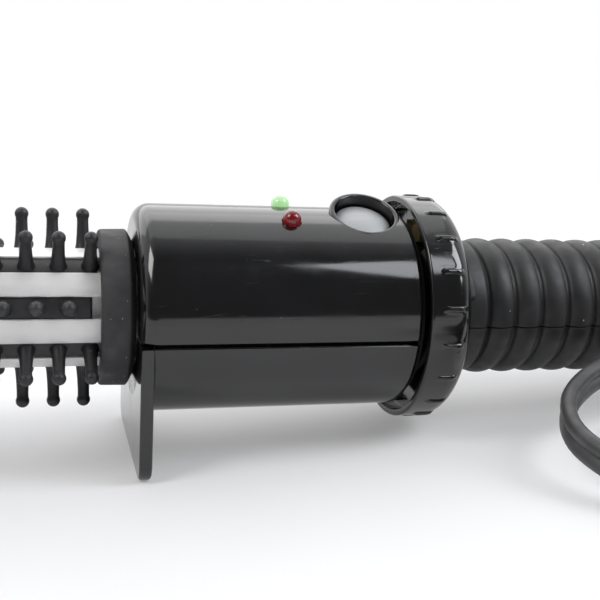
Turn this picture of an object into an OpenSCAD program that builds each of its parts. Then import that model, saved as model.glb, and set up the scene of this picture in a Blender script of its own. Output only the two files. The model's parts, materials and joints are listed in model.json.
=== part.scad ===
// Heated curling brush: ribbed handle, glossy control housing with a fixed stand, heat dial,
// and an aluminium barrel with eight strips of ball-tipped pins.
// Every rigid piece is drawn along one axis, tip end at negative x, handle end at positive x,
// with x = 0 at the front face of the housing. posed() then leans it onto its stand and handle end.

/* [Barrel] */
// Diameter of the aluminium barrel
barrel_d = 19; // [16:0.5:24]
// Length of barrel in front of the rear collar
barrel_length = 108; // [80:1:140]
// Length of barrel gripped inside the housing
barrel_grip = 14; // [8:1:20]
// Width of a channel that holds a pin strip
channel_w = 3.3; // [2.6:0.1:4]
// Depth of a channel
channel_depth = 1.9; // [1.4:0.1:2.4]
// Length of the cool tip
tip_length = 20; // [12:1:30]
// Turn of the pin rows about the axis
row_phase = 12; // [0:1:44]

/* [Pins] */
// Height of a pin above the barrel
pin_height = 6.3; // [4:0.1:9]
// Diameter of the ball on a pin
pin_ball_d = 2; // [1.4:0.1:2.6]
// Spacing of the pins along a strip
pin_pitch = 4.7; // [4:0.1:7]
// How far the facing strip has crept towards the tip
strip_creep = 3.6; // [0:0.1:4]

/* [Housing] */
// Diameter of the housing
housing_d = 33.6; // [30:0.2:40]
// Length of the housing
housing_length = 44; // [40:0.5:60]
// Wall of the housing shells
housing_wall = 1.8; // [1.2:0.1:2.2]
// Radius of the housing's front edge
housing_edge_r = 2.7; // [1:0.1:4]
// Depth of the parting line below the axis
housing_part_z = 2.4; // [1:0.1:4]
// Visible width of the parting groove
groove_w = 0.7; // [0.3:0.1:1]
// Diameter of the rear collar of the barrel
collar_d = 25.2; // [23:0.2:28]
// Length of the rear collar
collar_length = 4.9; // [3:0.1:8]

/* [Stand] */
// Depth of the stand's lower edge below the axis
stand_drop = 24; // [22:0.5:32]
// Thickness of the stand plate
stand_t = 2; // [1.6:0.1:3]
// Radius of the lower corners of the stand plate
stand_corner_r = 3; // [1:0.5:6]

/* [Controls] */
// Diameter of the power button
button_d = 9.4; // [7:0.1:10]
// Travel of the power button
button_travel = 1.2; // [0.6:0.1:1.6]
// Place of the button in front of the housing's rear face
button_back = 6.7; // [6.5:0.1:12]
// Angle of the button about the axis, 90 being straight up
button_angle = 75; // [70:1:90]
// Diameter of an indicator lamp
lamp_d = 3; // [2:0.1:4]
// Place of the lamps in front of the housing's rear face
lamp_back = 19.7; // [18:0.1:24]
// Angle of the middle of the lamp pair about the axis
lamp_angle = 80; // [75:1:90]
// Angle between the two lamps
lamp_spread = 28; // [20:1:40]

/* [Dial] */
// Diameter of the heat dial
dial_d = 38.2; // [36.4:0.2:44]
// Length of the heat dial
dial_length = 7.8; // [6.5:0.1:12]
// Radius of the dial's rear edge
dial_edge_r = 3.6; // [1:0.1:4]
// Number of grip ridges on the dial
dial_ridges = 18; // [8:1:30]
// Gap between the housing and the dial
dial_gap = 0.6; // [0.3:0.1:1.5]

/* [Handle] */
// Diameter over the handle's ribs
handle_d = 23.9; // [22:0.1:28]
// Depth of the grooves between ribs
rib_depth = 1; // [0.4:0.1:1.4]
// Spacing of the ribs
rib_pitch = 5; // [4:0.1:7]
// Number of ribs
rib_count = 20; // [12:1:22]
// Wall of the handle shells below the grooves
handle_wall = 2; // [1.4:0.1:2.4]
// Depth of the handle's parting line below the axis
handle_part_z = 1.3; // [0:0.1:3]

/* [Cord] */
// Diameter of one of the two strands of the flat cord
strand_d = 2.5; // [2:0.1:3]
// Length of the strain relief
relief_length = 30; // [20:1:40]
// Length of the straight runs of the hank
hank_run = 80; // [60:1:84]
// Radius of the innermost fold of the hank
hank_fold_r = 14; // [12:0.5:20]
// Turns in each of the two layers of the hank
hank_turns = 2.5; // [1.5:1:3.5]

/* [Hidden] */
$fn = 64;

// Clearances
fit = 0.15;
run_gap = 0.3;
eps = 0.01;

// Barrel and pins
barrel_r = barrel_d / 2;
collar_r = collar_d / 2;
collar_gap = 0.5;
collar_x = -collar_gap - collar_length;
barrel_front = collar_x - barrel_length;
barrel_rear = barrel_grip;
row_count = 8;
row_step = 360 / row_count;
channel_floor_r = barrel_r - channel_depth;
channel_foot_w = channel_w + 1.1;
channel_foot_h = 0.9;
strip_top_r = barrel_r - 0.45;
strip_length = barrel_length - 1;
pin_tip_r = barrel_r + pin_height;
pin_shaft_r = 0.85;
pin_foot_r = 1.25;
pin_end_margin = 4.1;
slot_w = 9.4;
slot_h = 5.2;
slot_corner_r = 0.8;
slot_flat_w = slot_w - 2 * slot_corner_r;
tip_gap = 0.05;
peg_r = 4;
peg_length = 8;
peg_tongue_w = 6.6;
heater_w = 6.8;
heater_t = 2.6;
heater_front = 24;
heater_rear = 16;
clamp_over = 2;

// Housing
housing_r = housing_d / 2;
housing_inner_r = housing_r - housing_wall;
front_wall = 2.4;
rear_wall = 1.6;
front_bore_r = barrel_r + fit;
lip_t = 0.8;
lip_r = housing_r - 0.9;
stand_edge_r = 0.5;
screw_d = 2.2;
screw_head_d = 4;
screw_head_t = 1.4;
screw_bite = 5;
housing_screw_seat = 9;
handle_screw_seat = 7;
boss_d = 5;
boss_y = housing_inner_r - boss_d / 2 - 0.2;
boss_x = [9.5, housing_length - 9.5];

// Controls
button_r = button_d / 2;
button_x = housing_length - button_back;
button_drop = 1.8;
button_t = 1;
well_wall = 0.9;
well_r = button_r + 0.3;
well_outer_r = well_r + well_wall;
well_floor = 0.8;
well_depth = button_drop + button_t + button_travel + fit + well_floor;
stem_length = 1.4;
button_tilt = 13;
button_seat = housing_r + 0.4;
switch_w = 7;
switch_h = 4;
plunger_r = 1.3;
lamp_r = lamp_d / 2;
lamp_x = housing_length - lamp_back;
lamp_rise = 0.4;
board_t = 1.2;
board_z = -4.6;
board_w = 24;
board_x0 = 17;
board_x1 = boss_x[1] - boss_d / 2 - 1;

// Dial, running on the tube that joins the housing to the handle
dial_r = dial_d / 2;
dial_x = housing_length + dial_gap;
dial_rim = 1;
dial_recess = 3;
dial_rear = dial_x + dial_length;
core_r = 8.4;
core_bore_r = 6.8;
core_flange_r = 10.4;
core_flange_t = 1.5;
hub_r = 12;
ridge_len = 3.4;
ridge_h = 0.35;
ridge_w = 0.7;

// Handle
handle_r = handle_d / 2;
groove_r = handle_r - rib_depth;
handle_inner_r = groove_r - handle_wall;
neck_x = dial_rear + run_gap;
neck_length = 5.5;
rib_x = neck_x + neck_length;
end_length = 9;
end_x = rib_x + rib_count * rib_pitch;
handle_rear = end_x + end_length;
end_r = handle_r + 0.15;
end_edge_r = 2;

// Swivel and strain relief
spool_r = 4.2;
spool_flange_r = 6;
bush_r = 7.5;
bush_length = 7;
relief_r = 4.6;
relief_tip_r = 3.2;
relief_x = handle_rear + run_gap;
relief_rear = relief_x + relief_length;

// Lean of the axis when it stands on its plate and on the handle's rear end
stand_foot_x = stand_t - stand_edge_r;
lean = asin((stand_drop - end_r) / (end_x + end_length / 2 - stand_foot_x));
axis_z = stand_foot_x * sin(lean) + (stand_drop - stand_edge_r) * cos(lean) + stand_edge_r;
tip_end = barrel_front - tip_length;
axis_x = -(tip_end + relief_rear) / 2 * cos(lean);

// Flat cord of two strands side by side
cord_w = 2 * strand_d;
lead_gap = 0.2;
lead_start = [axis_x + (relief_rear + lead_gap) * cos(lean), 0, axis_z - (relief_rear + lead_gap) * sin(lean)];
lead_straight = [axis_x + (relief_rear + 6) * cos(lean), 0, axis_z - (relief_rear + 6) * sin(lean)];

// Hank, lying beside the handle, and what joins it
hank_step = strand_d + 0.65;
layer_step = cord_w + 0.45;
hank_outer_r = hank_fold_r + hank_turns * hank_step;
hank_waist = 9;
hank_x = 60;
hank_z = cord_w / 2 + 0.6;
lead_end = [hank_x - 0.1, -46.5, hank_z];
hank_y = lead_end[1] - hank_outer_r;
tie_w = 5;

// Route of the lead from the strain relief to the hank
lead_points = [
    lead_start, lead_straight, [179, -1, 8], [187, -4, 6.6], [193.5, -9.5, 5.2], [197.5, -17, 4],
    [198, -25.5, 3.2], [194.5, -33, 2.8], [188, -38.5, 2.6], [179, -41, 2.6], [168, -41.5, 2.6],
    [156, -41, 2.6], [144, -39.5, 2.6], [132, -37, 2.6], [121, -33.5, 2.8], [110, -29, 3.4],
    [99, -24, 4.8], [88, -19.5, 6.8], [78, -16.2, 8.8], [68, -14.6, 10.2], [57, -14.6, 11],
    [47, -16.6, 11], [39, -20.5, 10.2], [32.5, -26.5, 8.8], [29.6, -34, 7], [31.5, -42, 5.2],
    [37.5, -48.3, 3.9], [46, -49.4, 3.3], [53, -47.5, 3.1], lead_end
];

// Plug
plug_length = 25;
plug_w = 22;
plug_t = 11;
plug_turn = -45;
plug_z = plug_t / 2 + 0.05;
blade_length = 16;
blade_w = 6.35;
blade_t = 1.5;
blade_spacing = 12.7;

module posed() {
    translate([axis_x, 0, axis_z]) rotate([0, lean, 0]) children();
}

// Shapes that repeat

// A solid of revolution about the main axis from points [place along the axis, radius]
module along(points) {
    rotate([0, 90, 0]) rotate_extrude() polygon([for (p = points) [p[1], p[0]]]);
}

module ring(x0, x1, r_outer, r_inner) {
    along([[x0, r_inner], [x1, r_inner], [x1, r_outer], [x0, r_outer]]);
}

module bar(x0, x1, r) {
    translate([x0, 0, 0]) rotate([0, 90, 0]) cylinder(r = r, h = x1 - x0);
}

// Places a child at an angle about the axis, its own z pointing outwards
module about(angle, x = 0) {
    translate([x, 0, 0]) rotate([90 - angle, 0, 0]) children();
}

// Everything above or below a height, as a block to cut with
module above(z) {
    translate([-300, -50, z]) cube([600, 100, 100]);
}

module below(z) {
    translate([-300, -50, z - 100]) cube([600, 100, 100]);
}

function arc(cx, cy, r, a0, a1, n = 6) =
    [for (i = [0 : n]) let (a = a0 + (a1 - a0) * i / n) [cx + r * cos(a), cy + r * sin(a)]];

// Barrel

module channel_outline(gap = 0) {
    foot = channel_foot_w / 2 - gap;
    mouth = channel_w / 2 - gap;
    low = channel_floor_r + gap;
    polygon([
        [low, -foot], [low + channel_foot_h - 2 * gap, -foot], [low + channel_foot_h - gap, -mouth],
        [barrel_r + 1, -mouth], [barrel_r + 1, mouth], [low + channel_foot_h - gap, mouth],
        [low + channel_foot_h - 2 * gap, foot], [low, foot]
    ]);
}

module heater_slot_outline() {
    r = slot_corner_r;
    translate([-slot_h / 2 + r, -slot_w / 2]) square([slot_h - 2 * r, slot_w]);
    translate([-slot_h / 2, -slot_w / 2 + r]) square([slot_h, slot_w - 2 * r]);
    for (x = [-1, 1], y = [-1, 1])
        translate([x * (slot_h / 2 - r), y * (slot_w / 2 - r)]) circle(r, $fn = 24);
}

module barrel_tube() {
    color("silver")
    translate([barrel_front, 0, 0]) rotate([0, 90, 0])
    linear_extrude(barrel_rear - barrel_front) difference() {
        circle(barrel_r, $fn = 96);
        for (i = [0 : row_count - 1])
            rotate(270 - row_phase - i * row_step) channel_outline();
        heater_slot_outline();
    }
}

module pin() {
    shaft = pin_tip_r - strip_top_r - pin_ball_d / 2;
    translate([0, 0, strip_top_r - 0.2]) cylinder(r1 = pin_foot_r, r2 = pin_shaft_r, h = 1.2, $fn = 24);
    translate([0, 0, strip_top_r]) cylinder(r = pin_shaft_r, h = shaft, $fn = 24);
    translate([0, 0, strip_top_r + shaft]) sphere(d = pin_ball_d, $fn = 24);
}

// One strip: a foot that slides in the channel, and a row of pins
module bristle_strip(i) {
    creep = i == 0 ? strip_creep : 0;
    rear = collar_x - 0.3 - creep;
    front = max(rear - strip_length, barrel_front);
    last_pin = rear - pin_end_margin + (i % 2 == 1 ? 0.6 : 0);
    pins = floor((last_pin - front - 2) / pin_pitch);
    color("#26262a") rotate([90 - row_phase - i * row_step, 0, 0]) {
        difference() {
            translate([front, 0, 0]) rotate([0, 90, 0]) linear_extrude(rear - front)
                rotate(180) channel_outline(0.08);
            translate([front - 1, -3, strip_top_r]) cube([rear - front + 2, 6, 3]);
        }
        for (k = [0 : pins]) translate([last_pin - k * pin_pitch, 0, 0]) pin();
    }
}

module bristle_strip_1() { bristle_strip(0); }
module bristle_strip_2() { bristle_strip(1); }
module bristle_strip_3() { bristle_strip(2); }
module bristle_strip_4() { bristle_strip(3); }
module bristle_strip_5() { bristle_strip(4); }
module bristle_strip_6() { bristle_strip(5); }
module bristle_strip_7() { bristle_strip(6); }
module bristle_strip_8() { bristle_strip(7); }

// Cool tip: a ring that butts against the barrel and a rounded nose
module tip_cap() {
    nose = 9;
    front = tip_end;
    rear = barrel_front - tip_gap;
    r = collar_r - 0.6;
    color("#222226") difference() {
        along(concat(
            [[front, 0]],
            [for (i = [1 : 8]) let (a = 90 * i / 8) [front + nose * (1 - cos(a)), r * sin(a)]],
            [[rear - 0.6, r], [rear, r - 0.6], [rear, 0]]
        ));
        bar(rear - peg_length, rear + 1, peg_r + 0.2);
    }
}

// Peg that holds the tip in the heater slot of the barrel
module tip_plug() {
    rear = barrel_front - tip_gap;
    h = slot_h - 2 * fit;
    color("dimgray") {
        bar(rear - peg_length + 0.2, rear, peg_r);
        translate([rear - 1, -peg_tongue_w / 2, -h / 2]) cube([peg_length + 1, peg_tongue_w, h]);
    }
}

module barrel_collar() {
    edge = 0.7;
    bevel = 1.6;
    rear = collar_x + collar_length;
    color("#3b3b3f") along([
        [collar_x, front_bore_r], [collar_x, collar_r - edge],
        [collar_x + edge * 0.3, collar_r - edge * 0.3], [collar_x + edge, collar_r],
        [rear - edge, collar_r], [rear - edge * 0.2, collar_r - 0.3],
        [rear + 0.35, collar_r - bevel], [rear + 0.35, front_bore_r]
    ]);
}

// Heater inside the barrel

module ptc_heater() {
    length = barrel_length - heater_front - heater_rear;
    color("#b9b2a2") translate([barrel_front + heater_front, -heater_w / 2, -heater_t / 2])
        cube([length, heater_w, heater_t]);
}

module heater_clamp() {
    start = barrel_front + heater_front - clamp_over;
    length = barrel_length - heater_front - heater_rear + 2 * clamp_over;
    color("silver") for (side = [0, 1]) mirror([0, 0, side])
        translate([start, -slot_flat_w / 2, heater_t / 2]) cube([length, slot_flat_w, (slot_h - heater_t) / 2]);
}

module thermal_fuse() {
    start = collar_x - 6;
    color("tan") {
        bar(start, start + 9, 1.6);
        bar(start - 3, start, 0.45);
        bar(start + 9, start + 14, 0.45);
    }
}

// Housing

module housing_body() {
    r = housing_edge_r;
    along(concat(
        [[0, 0], [0, housing_r - r]],
        [for (i = [1 : 6]) let (a = 90 * i / 6) [r - r * cos(a), housing_r - r + r * sin(a)]],
        [[housing_length - 0.6, housing_r], [housing_length, housing_r - 0.6], [housing_length, 0]]
    ));
}

module housing_hollow() {
    ring(front_wall, housing_length - rear_wall, housing_inner_r, 0);
    bar(-1, front_wall + 1, front_bore_r);
    bar(housing_length - 4, housing_length + 1, core_r + fit);
}

// Rib in the shells that grips the barrel
module housing_seats() {
    ring(8.5, 10.5, housing_inner_r + 0.4, front_bore_r);
}

module button_frame() {
    about(button_angle, button_x) translate([0, 0, button_seat])
        rotate([button_tilt, 0, 0]) children();
}

module lamp_frame(side) {
    about(lamp_angle + side * lamp_spread / 2, lamp_x) children();
}

module screw_posts(z0, z1, d) {
    for (x = boss_x, y = [-boss_y, boss_y]) translate([x, y, z0]) cylinder(d = d, h = z1 - z0);
}

module upper_shell() {
    part = -housing_part_z + groove_w / 2;
    color("#101013") difference() {
        union() {
            difference() {
                housing_body();
                housing_hollow();
            }
            intersection() {
                union() {
                    housing_seats();
                    screw_posts(part, part + 8, boss_d);
                }
                bar(1, housing_length - 1, housing_inner_r + 0.4);
            }
            intersection() {
                button_frame() translate([0, 0, -well_depth]) cylinder(r = well_outer_r, h = well_depth);
                above(0);
            }
        }
        below(part);
        button_frame() translate([0, 0, -well_depth + well_floor]) cylinder(r = well_r, h = 12);
        button_frame() translate([0, 0, -well_depth - 6]) cylinder(r = 2.2, h = 12);
        for (side = [-1, 1]) lamp_frame(side) translate([0, 0, 8]) cylinder(r = lamp_r + 0.1, h = 12, $fn = 32);
        screw_posts(part - 1, part + 7, screw_d - 0.4);
        bar(-2, barrel_rear + 0.3, front_bore_r);
        bar(housing_length - rear_wall - 1, housing_length + 2, core_r + fit);
    }
}

// Flat plate across the front of the lower shell, on which the brush rests
module stand_outline() {
    r = stand_corner_r;
    top = -housing_part_z - groove_w / 2;
    polygon(concat(
        [[housing_r, top], [-housing_r, top]],
        arc(-housing_r + r, -stand_drop + r, r, 180, 270),
        arc(housing_r - r, -stand_drop + r, r, 270, 360)
    ));
}

module stand_plate() {
    e = stand_edge_r;
    rotate([90, 0, 90]) translate([0, 0, e]) linear_extrude(stand_t - 2 * e) stand_outline();
    rotate([90, 0, 90]) linear_extrude(stand_t) offset(delta = -e * 0.6) stand_outline();
    translate([0, -housing_r + e, -housing_part_z - 3]) cube([stand_t, housing_d - 2 * e, 2.6]);
}

module lower_shell() {
    part = -housing_part_z - groove_w / 2;
    color("#141417") difference() {
        union() {
            difference() {
                union() {
                    housing_body();
                    stand_plate();
                }
                above(part);
            }
            difference() {
                ring(front_wall, housing_length - rear_wall, lip_r, housing_inner_r - lip_t);
                above(-housing_part_z + groove_w / 2);
                below(part - 3);
            }
        }
        difference() {
            ring(front_wall, housing_length - rear_wall, housing_inner_r - lip_t, 0);
            difference() {
                union() {
                    housing_seats();
                    screw_posts(-12, part, boss_d + 1);
                }
                above(part);
            }
        }
        difference() {
            ring(front_wall, housing_length - rear_wall, housing_inner_r, 0);
            above(part - 1.5);
            housing_seats();
            screw_posts(-18, part, boss_d + 1);
        }
        screw_posts(-20, part + 1, screw_d + 0.3);
        screw_posts(-20, -housing_screw_seat, screw_head_d + 0.4);
        bar(-2, barrel_rear + 0.3, front_bore_r);
        bar(housing_length - rear_wall - 1, housing_length + 2, core_r + fit);
    }
}

module power_button() {
    low = -button_drop - button_t;
    color("#b9bcc0") button_frame() {
        translate([0, 0, low]) cylinder(r = button_r, h = button_t);
        translate([0, 0, -button_drop]) cylinder(r1 = button_r, r2 = button_r - 0.7, h = 0.3);
        translate([0, 0, -well_depth - stem_length]) cylinder(r = 1.8, h = low + well_depth + stem_length + eps);
    }
}

module push_switch() {
    top = -well_depth - stem_length - button_travel - fit;
    color("#4a4a4e") button_frame() {
        translate([-switch_w / 2, -switch_w / 2, top - switch_h]) cube([switch_w, switch_w, switch_h]);
        translate([0, 0, top - 1]) cylinder(r = plunger_r, h = 1.1);
    }
}

module lamp(side, c) {
    color(c) lamp_frame(side) {
        translate([0, 0, housing_inner_r - 2.5]) cylinder(r = lamp_r, h = housing_wall + 2.5 + lamp_rise, $fn = 32);
        translate([0, 0, housing_inner_r - 3.3]) cylinder(r = lamp_r + 0.3, h = 0.9, $fn = 32);
        translate([0, 0, housing_r + lamp_rise]) sphere(r = lamp_r, $fn = 32);
    }
}

module lamp_red() { lamp(-1, "firebrick"); }
module lamp_green() { lamp(1, "mediumseagreen"); }

// Circuit board with its main components
module control_board() {
    color("#2f6b3d") translate([board_x0, -board_w / 2, board_z]) cube([board_x1 - board_x0, board_w, board_t]);
    color("#26303a") translate([board_x0 + 3, -9, board_z + board_t]) cube([6, 7, 2]);
    color("goldenrod") translate([board_x0 + 3, 2, board_z + board_t]) cube([5, 8, 3.5]);
}

// Dial

module dial_profile() {
    e = dial_edge_r;
    polygon(concat(
        [[dial_r - dial_rim, dial_x], [dial_r - 0.3, dial_x], [dial_r, dial_x + 0.3]],
        arc(dial_r - e, dial_rear - e, e, 0, 90, 8),
        [[core_r + fit, dial_rear], [core_r + fit, dial_x - dial_gap + run_gap],
         [hub_r, dial_x - dial_gap + run_gap], [hub_r, dial_x + dial_recess],
         [dial_r - dial_rim, dial_x + dial_recess]]
    ));
}

module dial_ring() {
    ridge_x = dial_rear - dial_edge_r * 0.6 - ridge_len;
    color("#0d0d10") {
        rotate([0, 90, 0]) rotate_extrude($fn = 128) dial_profile();
        for (k = [0 : dial_ridges - 1]) about(15 + k * 360 / dial_ridges, ridge_x)
            translate([0, -ridge_w / 2, dial_r - 0.6]) cube([ridge_len, ridge_w, 0.6 + ridge_h]);
    }
}

// Contact carrier that turns with the dial, inside the housing's rear wall
module dial_wiper() {
    x = dial_x + dial_recess;
    color("goldenrod") for (a = [0, 180]) about(lamp_angle + a, x - 1.5)
        translate([0, -1.5, hub_r + 0.3]) cube([1.5, 3, 3]);
}

module dial_track() {
    color("peru") ring(dial_x - dial_gap + 0.02, dial_x - dial_gap + 0.8, hub_r + 3.6, hub_r + run_gap);
}

// Tube that carries the dial and the handle, held by a flange behind the housing's rear wall
module core_tube() {
    front = housing_length - rear_wall - core_flange_t - 0.05;
    color("#2a2a2e") difference() {
        union() {
            bar(front, neck_x + neck_length + 10, core_r);
            bar(front, front + core_flange_t, core_flange_r);
        }
        bar(front - 1, neck_x + neck_length + 11, core_bore_r);
    }
}

// Handle

function rib_profile() = [
    for (k = [0 : rib_count - 1], t = [0.1, 0.24, 0.4, 0.6, 0.76, 0.9])
        [rib_x + (k + t) * rib_pitch, groove_r + rib_depth * pow(sin(180 * t), 0.55)]
];

module handle_solid() {
    e = end_edge_r;
    along(concat(
        [[neck_x, 0], [neck_x, groove_r + 0.3], [neck_x + 0.5, groove_r + 0.7],
         [rib_x - 1, groove_r + 0.7], [rib_x, groove_r]],
        rib_profile(),
        [[end_x, groove_r], [end_x + 0.8, end_r]],
        [for (i = [0 : 5]) let (a = 90 * i / 5)
            [handle_rear - e + e * sin(a), end_r - e + e * cos(a)]],
        [[handle_rear, 0]]
    ));
}

module handle_hollow() {
    bar(neck_x - 1, neck_x + neck_length + 10.3, core_r + fit);
    bar(neck_x + neck_length + 10, handle_rear - bush_length - 2, handle_inner_r);
    bar(handle_rear - bush_length - 3, handle_rear - 1.5, bush_r + fit);
    bar(handle_rear - 3, handle_rear + 1, relief_r + run_gap);
}

handle_post_x = [rib_x + 4.4 * rib_pitch, rib_x + 15.6 * rib_pitch];

module handle_posts(z0, z1, d) {
    for (x = handle_post_x) translate([x, 0, z0]) cylinder(d = d, h = z1 - z0);
}

module handle_upper() {
    color("#1b1b1d") {
        difference() {
            handle_solid();
            handle_hollow();
            below(-handle_part_z);
        }
        difference() {
            intersection() {
                handle_posts(-handle_part_z, 10, boss_d);
                handle_solid();
            }
            handle_posts(-handle_part_z - 1, 6, screw_d - 0.4);
        }
        // Raised mark against which the dial is set
        about(27, neck_x) translate([0.4, -2, groove_r]) cube([2.2, 4, 1.4]);
    }
}

module handle_lower() {
    color("#1d1d1f") difference() {
        union() {
            difference() {
                handle_solid();
                handle_hollow();
            }
            intersection() {
                handle_posts(-11, -handle_part_z, boss_d + 1);
                handle_solid();
            }
        }
        above(-handle_part_z);
        handle_posts(-14, 1, screw_d + 0.3);
        handle_posts(-14, -handle_screw_seat, screw_head_d + 0.4);
    }
}

module screw(z_head, z_tip) {
    translate([0, 0, z_head - screw_head_t]) difference() {
        cylinder(d = screw_head_d, h = screw_head_t);
        translate([-1.2, -0.25, -eps]) cube([2.4, 0.5, 0.6]);
        translate([-0.25, -1.2, -eps]) cube([0.5, 2.4, 0.6]);
    }
    translate([0, 0, z_head]) cylinder(d = screw_d - 0.45, h = z_tip - z_head);
}

module housing_screws() {
    color("silver") for (x = boss_x, y = [-boss_y, boss_y])
        translate([x, y, 0]) screw(-housing_screw_seat - 0.05, -housing_part_z + screw_bite);
}

module handle_screws() {
    color("silver") for (x = handle_post_x) translate([x, 0, 0]) screw(-handle_screw_seat - 0.05, -handle_part_z + screw_bite);
}

// Swivel

module swivel_bush() {
    rear = handle_rear - 1.5 - 0.05;
    color("dimgray") difference() {
        bar(rear - bush_length, rear, bush_r);
        bar(rear - bush_length - 1, rear + 1, spool_r + run_gap);
        bar(rear - bush_length - 1, rear - bush_length + 2.4, spool_flange_r + run_gap);
    }
}

module swivel_spool() {
    front = handle_rear - 1.5 - bush_length - 0.05;
    color("goldenrod") {
        bar(front, front + 2.1, spool_flange_r);
        bar(front + 2, relief_x, spool_r);
    }
}

module strain_relief() {
    slots = 5;
    step = (relief_length - 12) / slots;
    color("#1a1a1c") difference() {
        along([
            [relief_x, 0], [relief_x, relief_r + 1.2], [relief_x + 0.8, relief_r + 1.6],
            [relief_x + 3.2, relief_r + 1.6], [relief_x + 4.2, relief_r],
            [relief_rear - 1, relief_tip_r], [relief_rear, relief_tip_r - 0.5], [relief_rear, 0]
        ]);
        for (k = [0 : slots - 1]) translate([relief_x + 6.5 + k * step, 0, 0])
            for (s = [-1, 1]) rotate([k % 2 == 0 ? 0 : 90, 0, 0]) translate([0, s > 0 ? 2 : -8, -6]) cube([1.2, 6, 12]);
    }
}

// Hank: runs and folds by turns, spiralling in on the lower layer and out on the upper one.
// q counts half turns: the first run_share of each is a run, the rest is a fold, where the
// radius changes. The climb to the upper layer lies along one run.

run_share = 0.5;
reverse_q = 2 * hank_turns;
end_q = 2 * reverse_q + run_share;

function smooth(t) = let (c = max(0, min(1, t))) c * c * (3 - 2 * c);
function turned(q) = let (h = floor(q + 1e-6)) h + max(0, (q - h - run_share) / (1 - run_share));
function fold_r(q) = hank_fold_r + hank_step * abs(turned(q) - reverse_q) / 2;
function layer_z(q) = hank_z + layer_step * smooth((q - reverse_q) / run_share);
function hank_point(q) = let (
    h = floor(q + 1e-6),
    f = q - h,
    side = h % 2 == 0 ? 1 : -1,
    r = fold_r(q)
) f <= run_share + 1e-6
    ? let (g = f / run_share)
        [hank_x + hank_run / 2 + side * hank_run * (g - 0.5),
         hank_y + side * (r - hank_waist * (1 - cos(360 * g)) / 2), layer_z(q)]
    : let (a = 180 * (f - run_share) / (1 - run_share))
        [hank_x + hank_run / 2 + side * (hank_run / 2 + r * sin(a)), hank_y + side * r * cos(a), layer_z(q)];

hank_rings = 12;
hank_points = [for (i = [0 : round(end_q * hank_rings)]) hank_point(i / hank_rings)];

// Least distance between the surfaces of turns that lie beside or on each other
function gap_of(a, b) = let (d = b - a)
    max(norm([d[0], d[1]]) - strand_d, abs(d[2]) - cord_w);
function segment_near(p, a, b) = let (
    ab = b - a, t = max(0, min(1, ((p - a) * ab) / (ab * ab)))) a + ab * t;
hank_gap = min([for (i = [0 : len(hank_points) - 1], j = [i + 9 : 1 : len(hank_points) - 2])
    gap_of(hank_points[i], segment_near(hank_points[i], hank_points[j], hank_points[j + 1]))]);

// Route of the tail from the hank to the plug
tail_start = hank_points[len(hank_points) - 1];
plug_x = tail_start[0] + 28;
plug_y = tail_start[1] - 10.1;
tail_points = [
    for (step = [[0.1, 0, 0], [6, 0, -0.15], [13, -0.6, -0.8], [20, -3.4, -2.2], [25, -7.1, -3]]) tail_start + step,
    [plug_x, plug_y, plug_z]
];

// Cord: a flat tube swept along points, with the direction of its width at each point

function unit(v) = v / norm(v);
function tangent(p, i) =
    unit(p[min(i + 1, len(p) - 1)] - p[max(i - 1, 0)]);
function square_to(v, t) = unit(v - (v * t) * t);

// Outline of the flat cord, [share of its width, share of its thickness]
LENS_6 = [[0.5, 0], [0.3, 0.5], [-0.3, 0.5], [-0.5, 0], [-0.3, -0.5], [0.3, -0.5]];
LENS_8 = [
    [0.5, 0.22], [0.3, 0.5], [-0.3, 0.5], [-0.5, 0.22],
    [-0.5, -0.22], [-0.3, -0.5], [0.3, -0.5], [0.5, -0.22]
];

module flat_tube(p, w, outline) {
    n = len(p);
    sides = len(outline);
    pts = [for (i = [0 : n - 1]) let (t = tangent(p, i), a = square_to(w[i], t), b = cross(t, a))
        for (o = outline) p[i] + a * cord_w * o[0] + b * strand_d * o[1]];
    faces = concat(
        [[for (k = [0 : sides - 1]) k]],
        [for (i = [0 : n - 2], k = [0 : sides - 1]) let (j = (k + 1) % sides)
            [i * sides + k, (i + 1) * sides + k, (i + 1) * sides + j, i * sides + j]],
        [[for (k = [sides - 1 : -1 : 0]) (n - 1) * sides + k]]
    );
    polyhedron(points = pts, faces = faces, convexity = 10);
}

module cord_lead() {
    color("#303034") flat_tube(lead_points, [for (p = lead_points) [0, 0, 1]], LENS_8);
}

module cord_tail() {
    color("#303034") flat_tube(tail_points, [for (p = tail_points) [0, 0, 1]], LENS_8);
}

module cord_hank() {
    echo(hank_least_gap = hank_gap);
    color("#303034") flat_tube(hank_points, [for (p = hank_points) [0, 0, 1]], LENS_6);
}

// Strap round the waist of the hank
module cord_tie() {
    half = hank_outer_r - hank_waist + strand_d / 2 + 1.4;
    top = hank_z + layer_step + cord_w / 2 + 0.4;
    bottom = 0.05;
    t = 0.5;
    r = 2.4;
    color("#18181a") translate([hank_x + hank_run / 2 - tie_w / 2, hank_y, 0])
    rotate([90, 0, 90]) linear_extrude(tie_w) difference() {
        rounded_rect(-half - t, bottom, half + t, top + t, r + t);
        rounded_rect(-half, bottom + t, half, top, r);
    }
}

module rounded_rect(x0, y0, x1, y1, r) {
    translate([x0 + r, y0]) square([x1 - x0 - 2 * r, y1 - y0]);
    translate([x0, y0 + r]) square([x1 - x0, y1 - y0 - 2 * r]);
    for (x = [x0 + r, x1 - r], y = [y0 + r, y1 - r]) translate([x, y]) circle(r, $fn = 32);
}

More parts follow.
